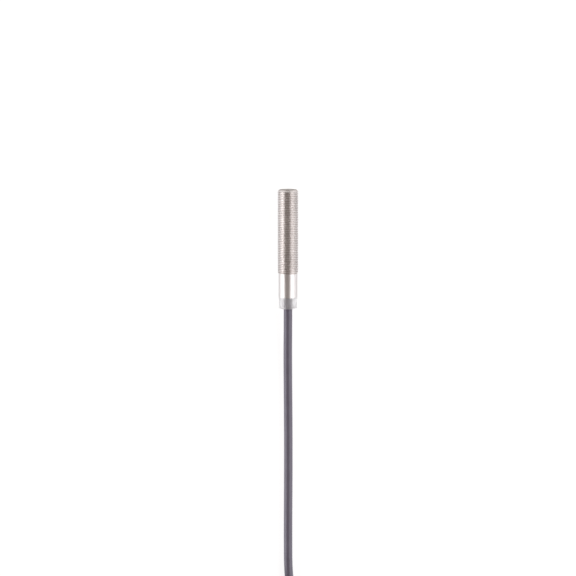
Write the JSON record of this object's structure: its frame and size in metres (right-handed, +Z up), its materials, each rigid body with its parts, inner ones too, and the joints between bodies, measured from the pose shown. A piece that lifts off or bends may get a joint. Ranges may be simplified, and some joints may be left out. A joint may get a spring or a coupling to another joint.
{
  "type": "inductive proximity sensor",
  "caption": "Cylindrical inductive proximity sensor: threaded metal barrel with a flush sensing face, clear cable-end boot and a fixed cable folded into a tied hank.",
  "frame": {"origin": "on the surface that the sensor lies on, under the middle of the sensor's body", "axes": "+Y along the sensor's axis towards its sensing face, +Z up from the surface, the cable leaves towards -Y"},
  "size_m": [0.0466, 0.3483, 0.0255],
  "materials": {
    "plated_brass": "white-bronze plated, satin",
    "face_plastic": "moulded, matt",
    "brass": "turned",
    "ferrite": "ground ferrite",
    "white_plastic": "moulded",
    "copper_wire": "enamelled copper",
    "board_laminate": "solder mask",
    "chip_epoxy": "moulded epoxy",
    "capacitor_ceramic": "fired ceramic",
    "resistor_black": "glazed",
    "led_resin": "clear yellow resin",
    "solder": "tinned",
    "amber_film": "polyimide film",
    "potting_resin": "cast resin",
    "clear_boot": "milky clear moulded plastic",
    "seal_rubber": "moulded rubber",
    "crimp_metal": "plated, satin",
    "cable_jacket": "satin dark grey jacket",
    "wire_brown": "extruded insulation",
    "wire_blue": "extruded insulation",
    "wire_black": "extruded insulation",
    "tie_plastic": "moulded nylon"
  },
  "bodies": {
    "root": {"housing_sleeve": "plated_brass", "sensing_face_cap": "face_plastic", "shield_ring": "brass", "ferrite_core": "ferrite", "coil_bobbin": "white_plastic", "sensing_coil": "copper_wire", "coil_leads": "copper_wire", "core_holder": "white_plastic", "circuit_board": "board_laminate", "sensor_ic": "chip_epoxy", "voltage_regulator": "chip_epoxy", "output_transistor": "chip_epoxy", "polarity_diode": "chip_epoxy", "surge_suppressor": "chip_epoxy", "capacitors": "capacitor_ceramic", "resistors": "resistor_black", "status_leds": "led_resin", "solder_joints": "solder", "insulating_film": "amber_film", "potting_resin": "potting_resin", "light_guide_boot": "clear_boot", "boot_seal_ring": "seal_rubber", "cable_crimp_ring": "crimp_metal", "cable_inner_stretch": "cable_jacket", "core_brown": "wire_brown", "core_blue": "wire_blue", "core_black": "wire_black", "cable_run": "cable_jacket", "cable_hank": "cable_jacket", "hank_tie": "tie_plastic", "lead_brown": "wire_brown", "lead_black": "wire_black", "lead_blue": "wire_blue", "lead_ferrules": "solder"}
  },
  "joints": []
}
